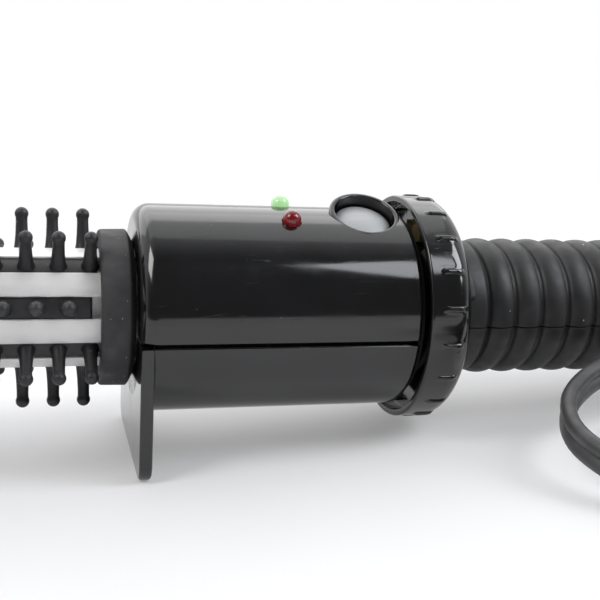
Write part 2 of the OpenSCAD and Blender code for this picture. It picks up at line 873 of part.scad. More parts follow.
// Plug: a moulded body lying flat, waisted where it is held, with two flat blades
module plug_plan() {
    polygon([
        [0, -3.4], [0, 3.4], [4, 4.4], [9, 6.2], [13, 8.4], [15, plug_w / 2 - 0.6], [17, plug_w / 2],
        [plug_length - 1, plug_w / 2], [plug_length, plug_w / 2 - 1], [plug_length, -plug_w / 2 + 1],
        [plug_length - 1, -plug_w / 2], [17, -plug_w / 2], [15, -plug_w / 2 + 0.6], [13, -8.4], [9, -6.2], [4, -4.4]
    ]);
}

module plug_side() {
    polygon([
        [0, -3.6], [0, 3.6], [8, 4.4], [14, plug_t / 2 - 0.8], [17, plug_t / 2], [plug_length - 1, plug_t / 2],
        [plug_length, plug_t / 2 - 1], [plug_length, -plug_t / 2 + 1], [plug_length - 1, -plug_t / 2],
        [17, -plug_t / 2], [14, -plug_t / 2 + 0.8], [8, -4.4]
    ]);
}

module plug_frame() {
    translate([plug_x, plug_y, plug_z]) rotate([0, 0, plug_turn]) children();
}

module plug_body() {
    color("#202023") plug_frame() intersection() {
        translate([0, 0, -plug_t]) linear_extrude(2 * plug_t) plug_plan();
        rotate([90, 0, 0]) translate([0, 0, -plug_w]) linear_extrude(2 * plug_w) plug_side();
    }
}

module plug_blades() {
    color("silver") plug_frame() for (side = [-1, 1])
        translate([plug_length, side * blade_spacing / 2 - blade_t / 2, 0])
        rotate([90, 0, 0]) translate([0, 0, -blade_t]) linear_extrude(blade_t) difference() {
            polygon([
                [0, -blade_w / 2], [0, blade_w / 2], [blade_length - 1.6, blade_w / 2],
                [blade_length, blade_w / 2 - 1.8], [blade_length, -blade_w / 2 + 1.8],
                [blade_length - 1.6, -blade_w / 2]
            ]);
            translate([blade_length - 4, 0]) circle(d = 3, $fn = 32);
        }
}

posed() barrel_tube();
posed() bristle_strip_1();
posed() bristle_strip_2();
posed() bristle_strip_3();
posed() bristle_strip_4();
posed() bristle_strip_5();
posed() bristle_strip_6();
posed() bristle_strip_7();
posed() bristle_strip_8();
posed() tip_cap();
posed() tip_plug();
posed() barrel_collar();
posed() ptc_heater();
posed() heater_clamp();
posed() thermal_fuse();
posed() upper_shell();
posed() lower_shell();
posed() power_button();
posed() push_switch();
posed() lamp_green();
posed() lamp_red();
posed() control_board();
posed() dial_ring();
posed() dial_wiper();
posed() dial_track();
posed() core_tube();
posed() handle_upper();
posed() handle_lower();
posed() housing_screws();
posed() handle_screws();
posed() swivel_bush();
posed() swivel_spool();
posed() strain_relief();
cord_lead();
cord_hank();
cord_tie();
cord_tail();
plug_body();
plug_blades();
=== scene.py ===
import json
import math

import bmesh
import bpy
from mathutils import Matrix, Vector


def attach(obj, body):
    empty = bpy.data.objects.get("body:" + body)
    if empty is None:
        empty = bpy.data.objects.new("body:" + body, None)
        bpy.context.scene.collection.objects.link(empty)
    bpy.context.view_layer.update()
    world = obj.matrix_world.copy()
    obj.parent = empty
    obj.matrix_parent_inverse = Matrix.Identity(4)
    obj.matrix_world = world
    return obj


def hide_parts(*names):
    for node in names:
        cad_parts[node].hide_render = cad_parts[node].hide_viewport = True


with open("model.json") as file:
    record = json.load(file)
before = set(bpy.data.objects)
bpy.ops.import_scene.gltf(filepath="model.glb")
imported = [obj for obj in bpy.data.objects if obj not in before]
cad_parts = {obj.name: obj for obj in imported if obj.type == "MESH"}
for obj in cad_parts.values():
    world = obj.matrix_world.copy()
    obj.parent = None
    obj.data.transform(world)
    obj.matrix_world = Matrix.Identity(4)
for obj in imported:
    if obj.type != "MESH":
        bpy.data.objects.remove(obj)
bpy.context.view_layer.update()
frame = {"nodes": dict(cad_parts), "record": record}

NODES = frame["nodes"]
MM = 0.001

# Sizes of the part, in mm along its own axis (u = 0 at the housing's front face)
BARREL_R = 9.5
COLLAR_R = 12.6
COLLAR_X = -5.4
COLLAR_REAR = -0.5
BARREL_FRONT = -113.4
BARREL_REAR = 14
ROW_PHASE = 12
ROW_STEP = 45
SLOT_W = 9.4
SLOT_H = 5.2
SLOT_CORNER_R = 0.8
CHANNEL_W = 3.3
CHANNEL_FOOT_W = 4.4
CHANNEL_FLOOR_R = 7.6
CHANNEL_FOOT_H = 0.9
STRIP_GAP = 0.08
STRIP_LENGTH = 107
STRIP_TOP_R = 9.05
STRIP_CREEP = 0.9
PIN_TIP_R = 15.8
PIN_PITCH = 4.7
PIN_MARGIN = 1.9
CREPT_PIN_MARGIN = 3.6
PIN_STAGGER = 0.7
PIN_BALL_R = 1.06
TIP_END = -133.4
TIP_R = 12.0
TIP_NOSE = 9
TIP_PEG_R = 4.3
HOUSING_R = 16.8
HOUSING_LENGTH = 44
HOUSING_EDGE_R = 2.7
HOUSING_PART_Z = -2.4
HOUSING_WALL = 1.8
HOUSING_END_WALL = 2.4
HOUSING_REAR_WALL = 1.6
GROOVE_W = 0.7
BOSS_INSET = 9.5
BOSS_Y = 12.3
SCREW_SEAT_Z = -9
SCREW_RECESS_R = 2.2
SCREW_HEAD_R = 2
SCREW_HEAD_T = 1.4
SCREW_SHANK_R = 0.9
STAND_T = 2
STAND_DROP = 24
STAND_EDGE_R = 0.5
STAND_CORNER_R = 3
BUTTON_X = 37.3
BUTTON_ANGLE = 75
BUTTON_TILT = 13
BUTTON_SEAT = 17.2
BUTTON_R = 4.7
BUTTON_DROP = 1.8
BUTTON_CROWN = 0.8
WELL_R = 5.0
WELL_OUTER_R = 5.9
WELL_DEPTH = 4.95
LAMP_X = 24.3
LAMP_R = 1.5
LAMP_LIP_R = 1.8
LAMP_STEP = 12.7
LAMP_FOOT = 11.7
LAMP_ANGLES = {"red": 66, "green": 94}
DIAL_R = 19.1
DIAL_X = 44.6
DIAL_REAR = 52.4
DIAL_RECESS = 3
DIAL_WALL = 1
DIAL_EDGE_R = 3.6
DIAL_RIDGES = 20
RIDGE_PHASE = 11
RIDGE_FROM, RIDGE_TO = 46.8, 50.3
RIDGE_H = 0.35
RIDGE_HALF = 0.021
HUB_R = 12
CORE_R = 8.4
RUNNING_GAP = 0.15
NECK_X = 52.7
RIB_X = 58.2
RIB_PITCH = 5
RIB_COUNT = 20
GROOVE_R = 10.95
HANDLE_R = 11.95
END_X = 158.2
HANDLE_REAR = 167.2
END_R = 12.1
HANDLE_PART_Z = -1.3
HANDLE_SCREW_X = (RIB_X + 22, RIB_X + 78)
MARK_ANGLE = 27
MARK_TOP = 12.35
MARK_W = 4
RELIEF_X = 167.5
RELIEF_REAR = 197.5
CORD_W = 5.0
STRAND_D = 2.5
WEB_T = 1.32

STAND_FOOT_X = STAND_T - STAND_EDGE_R
LEAN = math.asin((STAND_DROP - END_R) / (END_X + 4.5 - STAND_FOOT_X))
AXIS_Z = STAND_FOOT_X * math.sin(LEAN) + (STAND_DROP - STAND_EDGE_R) * math.cos(LEAN) + STAND_EDGE_R
AXIS_X = -(TIP_END + RELIEF_REAR) / 2 * math.cos(LEAN)
TO_METRES = Matrix.Scale(MM, 4)
POSED = TO_METRES @ Matrix.Translation((AXIS_X, 0, AXIS_Z)) @ Matrix.Rotation(LEAN, 4, "Y")


# Camera

FOCAL_PX = 957
PHOTO_PX = 600
SENSOR = 36
CAMERA_AT = (-0.044347, -0.152797, 0.060336)
CAMERA_RIGHT = (0.965139, -0.261228, -0.016345)
CAMERA_UP = (0.075439, 0.217835, 0.973066)
CAMERA_BACK = (-0.250631, -0.940377, 0.229947)


def add_camera():
    data = bpy.data.cameras.new("camera")
    data.sensor_width = SENSOR
    data.lens = SENSOR * FOCAL_PX / PHOTO_PX
    data.clip_start = 0.005
    data.clip_end = 20
    camera = bpy.data.objects.new("camera", data)
    columns = [Vector(CAMERA_RIGHT), Vector(CAMERA_UP), Vector(CAMERA_BACK)]
    turn = Matrix([[c[i] for c in columns] for i in range(3)]).to_4x4()
    camera.matrix_world = Matrix.Translation(CAMERA_AT) @ turn
    bpy.context.scene.collection.objects.link(camera)
    bpy.context.scene.camera = camera


# Mesh tools


def add_mesh(name, verts, faces, matrix=POSED, sharp=35):
    """An object from points and faces; sharp is the angle in degrees above which an edge stays sharp."""
    bm = bmesh.new()
    made = [bm.verts.new(matrix @ Vector(v)) for v in verts]
    for face in faces:
        bm.faces.new([made[i] for i in face])
    bmesh.ops.recalc_face_normals(bm, faces=bm.faces)
    mesh = bpy.data.meshes.new(name)
    bm.to_mesh(mesh)
    bm.free()
    obj = bpy.data.objects.new(name, mesh)
    bpy.context.scene.collection.objects.link(obj)
    smooth(obj, sharp)
    return obj


def smooth(obj, sharp=35):
    mesh = obj.data
    mesh.polygons.foreach_set("use_smooth", [True] * len(mesh.polygons))
    mesh.set_sharp_from_angle(angle=math.radians(sharp))


def bake_modifiers(obj):
    bpy.context.view_layer.update()
    graph = bpy.context.evaluated_depsgraph_get()
    mesh = bpy.data.meshes.new_from_object(obj.evaluated_get(graph))
    obj.modifiers.clear()
    obj.data = mesh


def remove(*objs):
    for obj in objs:
        bpy.data.objects.remove(obj)


def combine(obj, tools, operation):
    for tool in tools:
        step = obj.modifiers.new("step", "BOOLEAN")
        step.object = tool
        step.operation = operation
        step.solver = "EXACT"
    bake_modifiers(obj)
    remove(*tools)


def round_edges(obj, width, angle=50, segments=3):
    step = obj.modifiers.new("edges", "BEVEL")
    step.width = width * MM
    step.segments = segments
    step.limit_method = "ANGLE"
    step.angle_limit = math.radians(angle)
    step.use_clamp_overlap = True
    bake_modifiers(obj)


def weighted(obj):
    step = obj.modifiers.new("normals", "WEIGHTED_NORMAL")
    step.keep_sharp = True
    step.weight = 80


def filleted(corners, closed=True, steps=8):
    """Points of a plane outline whose corners are (x, y) or (x, y, radius)."""
    out = []
    n = len(corners)
    for i, corner in enumerate(corners):
        p = Vector(corner[:2])
        radius = corner[2] if len(corner) > 2 else 0
        if radius <= 0 or (not closed and i in (0, n - 1)):
            out.append((p.x, p.y))
            continue
        a = (Vector(corners[i - 1][:2]) - p).normalized()
        b = (Vector(corners[(i + 1) % n][:2]) - p).normalized()
        half = a.angle(b) / 2
        reach = radius / math.tan(half)
        centre = p + (a + b).normalized() * (radius / math.sin(half))
        start, end = p + a * reach - centre, p + b * reach - centre
        turn = math.atan2(start.x * end.y - start.y * end.x, start.dot(end))
        for k in range(steps + 1):
            t = turn * k / steps
            c, s = math.cos(t), math.sin(t)
            out.append((centre.x + start.x * c - start.y * s, centre.y + start.x * s + start.y * c))
    return out


def spin(outline, angles):
    """A full turn of an outline of (u, r) points. Angle 0 faces the near side."""
    verts, rows = [], []
    for u, r in outline:
        if r < 1e-6:
            verts.append((u, 0, 0))
            rows.append([len(verts) - 1] * len(angles))
        else:
            rows.append(list(range(len(verts), len(verts) + len(angles))))
            verts += [(u, -r * math.cos(a), r * math.sin(a)) for a in angles]
    faces = []
    closed = outline[0][1] > 1e-6
    for i in range(len(outline) if closed else len(outline) - 1):
        low, high = rows[i], rows[(i + 1) % len(outline)]
        for j in range(len(angles)):
            k = (j + 1) % len(angles)
            face = [low[j], low[k], high[k], high[j]]
            faces.append([v for n, v in enumerate(face) if v not in face[:n]])
    return verts, [f for f in faces if len(f) > 2]


def even(count):
    return [2 * math.pi * k / count for k in range(count)]


def add_turned(name, corners, count=128, matrix=POSED, closed=True, sharp=35, steps=8):
    verts, faces = spin(filleted(corners, closed, steps), even(count))
    return add_mesh(name, verts, faces, matrix, sharp)


def half_turned(outline, part_z, upper, count=96):
    """The part of a full turn above or below a plane; the outline is closed and clear of the axis."""
    verts, rows = [], []
    for u, r in outline:
        low = math.asin(part_z / r)
        a0, a1 = (low, math.pi - low) if upper else (math.pi - low, 2 * math.pi + low)
        rows.append(range(len(verts), len(verts) + count + 1))
        for k in range(count + 1):
            a = a0 + (a1 - a0) * k / count
            verts.append((u, -r * math.cos(a), r * math.sin(a)))
    faces = []
    for i in range(len(outline)):
        low, high = rows[i], rows[(i + 1) % len(outline)]
        faces += [[low[k], low[k + 1], high[k + 1], high[k]] for k in range(count)]
    faces.append([row[0] for row in rows])
    faces.append([row[count] for row in reversed(rows)])
    return verts, faces


def about(angle, u=0):
    """Frame at an angle about the axis, its own z pointing outwards."""
    return Matrix.Translation((u, 0, 0)) @ Matrix.Rotation(math.radians(90 - angle), 4, "X")


def button_frame():
    tilt = Matrix.Rotation(math.radians(BUTTON_TILT), 4, "X")
    return POSED @ about(BUTTON_ANGLE, BUTTON_X) @ Matrix.Translation((0, 0, BUTTON_SEAT)) @ tilt


# Corners of a square of side 2, and the turn of a spun outline's axis from x to z
SQUARE = ((-1, -1), (1, -1), (1, 1), (-1, 1))
UPRIGHT = Matrix.Rotation(math.radians(-90), 4, "Y")


def loft(rings, cap=True):
    verts = [p for ring in rings for p in ring]
    n = len(rings[0])
    faces = []
    for i in range(len(rings) - 1):
        for k in range(n):
            j = (k + 1) % n
            faces.append([i * n + k, (i + 1) * n + k, (i + 1) * n + j, i * n + j])
    if cap:
        faces.append(list(range(n)))
        faces.append([(len(rings) - 1) * n + k for k in range(n - 1, -1, -1)])
    return verts, faces


def join(name, parts):
    """One object from several, with its faces as they are."""
    bm = bmesh.new()
    for part in parts:
        bm.from_mesh(part.data)
    mesh = bpy.data.meshes.new(name)
    bm.to_mesh(mesh)
    bm.free()
    obj = bpy.data.objects.new(name, mesh)
    bpy.context.scene.collection.objects.link(obj)
    remove(*parts)
    return obj


def place(obj, body, slot, material, *nodes):
    """Gives a piece its material, hangs it on its body's empty and hides the CAD nodes it stands in for."""
    obj.data.materials.clear()
    obj.data.materials.append(material)
    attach(obj, body)
    if nodes:
        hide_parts(*nodes)
    return obj


# Materials


class Finish:
    """A Principled material built up from procedural layers. Lengths are in mm."""

    def __init__(self, name, color, roughness, **settings):
        self.material = bpy.data.materials.new(name)
        self.material.use_nodes = True
        self.tree = self.material.node_tree
        self.shader = self.tree.nodes["Principled BSDF"]
        self.color = None
        self.rough = None
        self.normal = None
        self.base = (*color, 1)
        self.base_rough = roughness
        self.shader.inputs["Base Color"].default_value = self.base
        self.shader.inputs["Roughness"].default_value = roughness
        for key, value in settings.items():
            self.shader.inputs[key.replace("_", " ")].default_value = value

    def node(self, kind, **values):
        made = self.tree.nodes.new(kind)
        for key, value in values.items():
            if key in made.inputs:
                made.inputs[key].default_value = value
            else:
                setattr(made, key, value)
        return made

    def link(self, a, b):
        self.tree.links.new(a, b)

    def place(self, scale=(1, 1, 1)):
        """Object coordinates in mm, along the part's own axis."""
        source = self.node("ShaderNodeTexCoord")
        moved = self.node("ShaderNodeMapping")
        moved.inputs["Rotation"].default_value = (0, -LEAN, 0)
        moved.inputs["Scale"].default_value = [s / MM for s in scale]
        self.link(source.outputs["Object"], moved.inputs["Vector"])
        return moved.outputs["Vector"]

    def noise(self, size, scale=(1, 1, 1), detail=3.0, rough=0.55):
        made = self.node("ShaderNodeTexNoise", Scale=1 / size, Detail=detail, Roughness=rough)
        self.link(self.place(scale), made.inputs["Vector"])
        return made.outputs["Fac"]

    def ramp(self, factor, low, high, start=0.0, end=1.0):
        made = self.node("ShaderNodeMapRange", interpolation_type="SMOOTHSTEP")
        for key, value in (("From Min", low), ("From Max", high), ("To Min", start), ("To Max", end)):
            made.inputs[key].default_value = value
        self.link(factor, made.inputs["Value"])
        return made.outputs["Result"]

    def specks(self, size, share, spread=0.28):
        """1 on small irregular specks, one in a few cells of the given size."""
        cells = self.node("ShaderNodeTexVoronoi", Scale=1 / size, Randomness=1.0)
        self.link(self.place(), cells.inputs["Vector"])
        near = self.ramp(cells.outputs["Distance"], spread, spread * 0.5)
        pick = self.node("ShaderNodeSeparateColor")
        self.link(cells.outputs["Color"], pick.inputs["Color"])
        chosen = self.ramp(pick.outputs["Red"], 1 - share, 1 - share * 0.9)
        return self.math("MULTIPLY", near, chosen)

    def math(self, operation, a, b):
        made = self.node("ShaderNodeMath", operation=operation)
        for socket, value in zip(made.inputs, (a, b)):
            if isinstance(value, (int, float)):
                socket.default_value = value
            else:
                self.link(value, socket)
        return made.outputs[0]

    def tint(self, factor, color):
        made = self.node("ShaderNodeMix", data_type="RGBA")
        self.link(factor, made.inputs["Factor"])
        if self.color is None:
            made.inputs["A"].default_value = self.base
        else:
            self.link(self.color, made.inputs["A"])
        made.inputs["B"].default_value = (*color, 1)
        self.color = made.outputs["Result"]
        return self

    def roughen(self, factor, amount):
        add = self.math("MULTIPLY", factor, amount)
        self.rough = self.math("ADD", self.base_rough if self.rough is None else self.rough, add)
        return self

    def bump(self, height, depth, strength=1.0):
        made = self.node("ShaderNodeBump", Distance=depth * MM, Strength=strength)
        self.link(height, made.inputs["Height"])
        if self.normal is not None:
            self.link(self.normal, made.inputs["Normal"])
        self.normal = made.outputs["Normal"]
        return self

    def done(self):
        for value, key in ((self.color, "Base Color"), (self.rough, "Roughness"), (self.normal, "Normal")):
            if value is not None:
                self.link(value, self.shader.inputs[key])
        return self.material


def gloss_black(name, tone):
    f = Finish(name, (tone, tone, tone * 1.1), 0.09, Specular_IOR_Level=0.7)
    f.tint(f.ramp(f.noise(9), 0.35, 0.75), (tone * 1.6, tone * 1.6, tone * 1.8))
    f.tint(f.specks(1.6, 0.10, 0.05), (0.35, 0.35, 0.36))
    f.roughen(f.ramp(f.noise(6, detail=5), 0.4, 0.75), 0.07)
    f.roughen(f.ramp(f.noise(0.5, scale=(0.12, 1.4, 1), detail=4), 0.62, 0.72), 0.16)
    f.roughen(f.specks(1.6, 0.10, 0.05), 0.5)
    f.bump(f.noise(7, detail=1), 0.012)
    f.bump(f.ramp(f.noise(0.6, scale=(0.15, 1.6, 1.2), detail=4), 0.64, 0.7), 0.0006)
    return f.done()


def moulded(name, color, roughness, grain=0.35, depth=0.006, dust=0.05, dust_size=1.1):
    f = Finish(name, color, roughness)
    light = tuple(min(1, c * 1.5 + 0.004) for c in color)
    dark = tuple(c * 0.7 for c in color)
    f.tint(f.ramp(f.noise(3.5, detail=4), 0.4, 0.75), light)
    f.tint(f.ramp(f.noise(8, detail=2), 0.55, 0.8), dark)
    if dust:
        f.tint(f.specks(dust_size, dust, 0.12), (0.55, 0.54, 0.52))
    f.roughen(f.ramp(f.noise(2.4, detail=4), 0.35, 0.7), 0.12)
    f.bump(f.noise(grain, detail=2), depth)
    return f.done()


def aluminium(name, color, roughness, metallic=1.0):
    f = Finish(name, color, roughness, Metallic=metallic)
    lines = f.noise(0.25, scale=(0.02, 1, 1), detail=4)
    f.tint(f.ramp(f.noise(5, scale=(0.35, 1, 1), detail=4), 0.45, 0.8), tuple(c * 0.86 for c in color))
    f.tint(f.specks(2.2, 0.05, 0.06), (0.12, 0.11, 0.10))
    f.roughen(f.ramp(lines, 0.3, 0.7), 0.16)
    f.bump(lines, 0.004)
    return f.done()


def metal(name, color, roughness):
    f = Finish(name, color, roughness, Metallic=1.0)
    f.tint(f.ramp(f.noise(1.8, detail=4), 0.4, 0.8), tuple(c * 0.75 for c in color))
    f.roughen(f.ramp(f.noise(0.8, detail=3), 0.35, 0.7), 0.15)
    f.bump(f.noise(0.15), 0.002)
    return f.done()


def epoxy(name, color, glow, lit):
    f = Finish(name, color, 0.08, Transmission_Weight=0.35, IOR=1.52, Coat_Weight=0.3,
               Emission_Color=(*glow, 1), Emission_Strength=lit)
    f.tint(f.ramp(f.noise(1.2, detail=2), 0.4, 0.8), glow)
    f.roughen(f.ramp(f.noise(0.7), 0.4, 0.7), 0.12)
    f.bump(f.noise(0.9), 0.01)
    return f.done()


MATERIALS = {
    "aluminium": aluminium("barrel_aluminium", (0.88, 0.865, 0.86), 0.38, 0.3),
    "pin_rubber": moulded("pin_rubber", (0.020, 0.020, 0.022), 0.42, 0.4, 0.008, 0.10, 0.9),
    "tip_plastic": moulded("tip_plastic", (0.014, 0.014, 0.016), 0.38),
    "inner_plastic": moulded("inner_plastic", (0.10, 0.10, 0.11), 0.5),
    "collar_plastic": moulded("collar_plastic", (0.038, 0.038, 0.040), 0.62, 0.5, 0.012, 0.34, 0.8),
    "heater_ceramic": moulded("heater_ceramic", (0.55, 0.50, 0.42), 0.8, 0.2, 0.01, 0),
    "fuse_metal": metal("fuse_metal", (0.72, 0.66, 0.45), 0.3),
    "housing_gloss": gloss_black("housing_gloss", 0.0055),
    "button_metallic": aluminium("button_metallic", (0.42, 0.43, 0.44), 0.45, 0.35),
    "lamp_green": epoxy("lamp_green", (0.55, 0.86, 0.50), (0.62, 0.92, 0.50), 0.18),
    "lamp_red": epoxy("lamp_red", (0.24, 0.008, 0.014), (0.42, 0.02, 0.03), 0.02),
    "board": moulded("board", (0.008, 0.009, 0.009), 0.45, 0.3, 0.004, 0),
    "dial_gloss": gloss_black("dial_gloss", 0.0045),
    "contact_brass": metal("contact_brass", (0.75, 0.58, 0.28), 0.28),
    "handle_matte": moulded("handle_matte", (0.010, 0.010, 0.011), 0.46, 0.28, 0.012, 0.05, 1.4),
    "screw_steel": metal("screw_steel", (0.6, 0.6, 0.6), 0.3),
    "cord_rubber": moulded("cord_rubber", (0.046, 0.046, 0.048), 0.42, 0.6, 0.010, 0.04, 1.2),
    "tie_plastic": moulded("tie_plastic", (0.012, 0.012, 0.013), 0.6, 0.3, 0.02, 0),
    "plug_rubber": moulded("plug_rubber", (0.018, 0.018, 0.02), 0.45, 0.35, 0.01, 0.03),
    "plug_brass": metal("plug_brass", (0.80, 0.76, 0.62), 0.26),
}


def finish_nodes():
    """The CAD nodes that stay keep their shape and get the material of their slot."""
    for part in frame["record"]["subparts"]:
        obj = NODES[part["node"]]
        obj.data.materials.clear()
        obj.data.materials.append(MATERIALS[part["material_slot"]])


# Cord

LEAD = [
    (179, -1, 8), (187, -4, 6.6), (193.5, -9.5, 5.2), (197.5, -17, 4), (198, -25.5, 3.2),
    (194.5, -33, 2.8), (188, -38.5, 2.6), (179, -41, 2.6), (168, -41.5, 2.6), (156, -41, 2.6),
    (144, -39.5, 2.6), (132, -37, 2.6), (121, -33.5, 2.8), (110, -29, 3.4), (99, -24, 4.8),
    (88, -19.5, 6.8), (78, -16.2, 8.8), (68, -14.6, 10.2), (57, -14.6, 11), (47, -16.6, 11),
    (39, -20.5, 10.2), (32.5, -26.5, 8.8), (29.6, -34, 7), (31.5, -42, 5.2), (37.5, -48.3, 3.9),
    (46, -49.4, 3.3), (53, -47.5, 3.1),
]
HANK_X, HANK_Y, HANK_Z = 60, -68.375, 3.1
HANK_RUN = 80
HANK_FOLD_R = 14
HANK_STEP = 3.15
HANK_LAYER = 5.45
HANK_WAIST = 9
REVERSE_Q = 5
END_Q = 10.5
TAIL = [(146, -46.5, 8.4), (153, -47.1, 7.75), (160, -49.9, 6.35), (165, -53.6, 5.55), (168, -56.6, 5.55)]
PLUG_AT = (168, -56.6, 5.55)
PLUG_TURN = -45


def on_axis(u):
    return (AXIS_X + u * math.cos(LEAN), 0, AXIS_Z - u * math.sin(LEAN))


def hank_point(q):
    """q counts half turns; the first half of each is a straight run, the rest a fold."""
    h = math.floor(q + 1e-9)
    f = q - h
    side = 1 if h % 2 == 0 else -1
    turned = h + max(0, (f - 0.5) / 0.5)
    r = HANK_FOLD_R + HANK_STEP * abs(turned - REVERSE_Q) / 2
    c = min(1, max(0, (q - REVERSE_Q) / 0.5))
    z = HANK_Z + HANK_LAYER * c * c * (3 - 2 * c)
    if f <= 0.5:
        g = f / 0.5
        waist = HANK_WAIST * (1 - math.cos(2 * math.pi * g)) / 2
        return (HANK_X + HANK_RUN / 2 + side * HANK_RUN * (g - 0.5), HANK_Y + side * (r - waist), z)
    a = math.pi * (f - 0.5) / 0.5
    x = HANK_X + HANK_RUN / 2 + side * (HANK_RUN / 2 + r * math.sin(a))
    return (x, HANK_Y + side * r * math.cos(a), z)


def eased(points, steps=6):
    """A smooth line through the points."""
    pts = [Vector(p) for p in points]
    out = []
    for i in range(len(pts) - 1):
        a, b = pts[max(i - 1, 0)], pts[i]
        c, d = pts[i + 1], pts[min(i + 2, len(pts) - 1)]
        for k in range(steps):
            t = k / steps
            out.append(0.5 * (2 * b + (c - a) * t + (2 * a - 5 * b + 4 * c - d) * t * t
                              + (3 * b - a - 3 * c + d) * t ** 3))
    out.append(pts[-1])
    return out


def cord_path():
    hank = [hank_point(q / 24) for q in range(round(END_Q * 24) + 1)]
    lead = eased([on_axis(RELIEF_REAR + 0.2), on_axis(RELIEF_REAR + 6), *LEAD, hank[0], hank[2]])
    tail = eased([hank[-3], hank[-1], *TAIL])
    return lead[:-6] + [Vector(p) for p in hank[1:-1]] + tail[6:]


def cord_outline():
    """Two round strands with a web between them, as (across, through) in mm."""
    r = STRAND_D / 2
    side = CORD_W / 2 - r
    angles = [math.radians(a) for a in range(-125, 126, 25)]
    right = [(side + r * math.cos(a), r * math.sin(a)) for a in angles]
    left = [(-x, -y) for x, y in right]
    return right + [(0, WEB_T / 2)] + left + [(0, -WEB_T / 2)]


def swept(path, outline, across=Vector((0, 0, 1))):
    rings = []
    for i, p in enumerate(path):
        t = (path[min(i + 1, len(path) - 1)] - path[max(i - 1, 0)]).normalized()
        a = (across - across.dot(t) * t).normalized()
        b = t.cross(a)
        rings.append([p + a * x + b * y for x, y in outline])
    return loft(rings)


def add_cord():
    path = cord_path()
    verts, faces = swept(path, cord_outline())
    cord = add_mesh("cord", verts, faces, TO_METRES, 50)
    place(cord, "brush", "cord_rubber", MATERIALS["cord_rubber"], "cord_lead", "cord_hank", "cord_tail")
    return cord, [tuple(MM * x for x in p) for p in path]


def add_tie():
    """Flat strap round the waist of the hank, its free end lapped over on top."""
    half = HANK_FOLD_R + HANK_STEP * REVERSE_Q / 2 - HANK_WAIST + STRAND_D / 2 + 1.65
    low, top = 0.3, HANK_Z + HANK_LAYER + CORD_W / 2 + 0.65
    x = HANK_X + HANK_RUN / 2
    loop = filleted([(-half, low, 2.6), (half, low, 2.6), (half, top, 2.6), (-half, top, 2.6)], steps=10)
    loop = [Vector((0, HANK_Y + a, b)) for a, b in loop]
    section = filleted([(-2.5, -0.25, 0.2), (2.5, -0.25, 0.2), (2.5, 0.25, 0.2), (-2.5, 0.25, 0.2)], steps=3)
    rings = []
    for i, p in enumerate(loop):
        t = (loop[(i + 1) % len(loop)] - loop[i - 1]).normalized()
        b = t.cross(Vector((1, 0, 0)))
        rings.append([p + Vector((x + a, 0, 0)) + b * c for a, c in section])
    verts, faces = loft(rings + [rings[0]], cap=False)
    band = add_mesh("band", verts, faces, TO_METRES, 40)
    bm = bmesh.new()
    bm.from_mesh(band.data)
    bmesh.ops.remove_doubles(bm, verts=bm.verts, dist=1e-7)
    bm.to_mesh(band.data)
    bm.free()
    ends = [(-9, 1.9), (-8.4, 2.3), (-7, 2.5), (3, 2.5), (5.2, 2.3), (6, 1.4)]
    rings = [[Vector((x + a / 2.5 * w, HANK_Y + y, top + 0.52 + c)) for a, c in section] for y, w in ends]
    verts, faces = loft(rings)
    flap = add_mesh("flap", verts, faces, TO_METRES, 40)
    tie = join("tie", [band, flap])
    smooth(tie, 40)
    return place(tie, "brush", "tie_plastic", MATERIALS["tie_plastic"], "cord_tie")


def add_plug():
    """Moulded plug: lofted from stadium sections, with finger ribs on its flanks."""
    plan = [(0, 3.3, 3.5), (0.4, 3.6, 3.7), (4, 4.4, 4.0), (9, 6.2, 4.5), (13, 8.4, 4.7), (15, 10.2, 5.0),
            (17, 10.9, 5.4), (19, 11, 5.5), (24, 11, 5.5), (24.7, 10.7, 5.2), (25, 10.2, 4.7)]
    rings = []
    for i in range(len(plan) - 1):
        (x0, w0, t0), (x1, w1, t1) = plan[i], plan[i + 1]
        for k in range(4):
            s = k / 4
            x = x0 + (x1 - x0) * s
            rings.append((x, w0 + (w1 - w0) * s, t0 + (t1 - t0) * s))
    rings.append(plan[-1])
    made = []
    for x, w, t in rings:
        grip = 0.35 * max(0, math.cos(2 * math.pi * (x - 18) / 1.8)) if 16.5 < x < 23.6 else 0
        ring = []
        for k in range(64):
            a = 2 * math.pi * k / 64
            c, s = math.cos(a), math.sin(a)
            y = math.copysign(abs(c) ** 0.55, c) * (w - grip * abs(c) ** 3)
            z = math.copysign(abs(s) ** 0.6, s) * t
            ring.append((x, y, z))
        made.append(ring)
    verts, faces = loft(made)
    turn = Matrix.Rotation(math.radians(PLUG_TURN), 4, "Z")
    plug = add_mesh("plug", verts, faces, TO_METRES @ Matrix.Translation(PLUG_AT) @ turn, 60)
    return place(plug, "brush", "plug_rubber", MATERIALS["plug_rubber"], "plug_body")


# Barrel and pins


def channel_corners():
    """One channel's corners in the cross-section, (radial, across), from one lip to the other."""
    lip = math.sqrt(BARREL_R ** 2 - (CHANNEL_W / 2) ** 2)
    step = CHANNEL_FLOOR_R + CHANNEL_FOOT_H
    return [
        (lip, -CHANNEL_W / 2, 0.18), (step, -CHANNEL_W / 2, 0.1), (step, -CHANNEL_FOOT_W / 2, 0.1),
        (CHANNEL_FLOOR_R, -CHANNEL_FOOT_W / 2, 0.15), (CHANNEL_FLOOR_R, CHANNEL_FOOT_W / 2, 0.15),
        (step, CHANNEL_FOOT_W / 2, 0.1), (step, CHANNEL_W / 2, 0.1), (lip, CHANNEL_W / 2, 0.18),
    ]


def row_angle(i):
    return ROW_PHASE + i * ROW_STEP


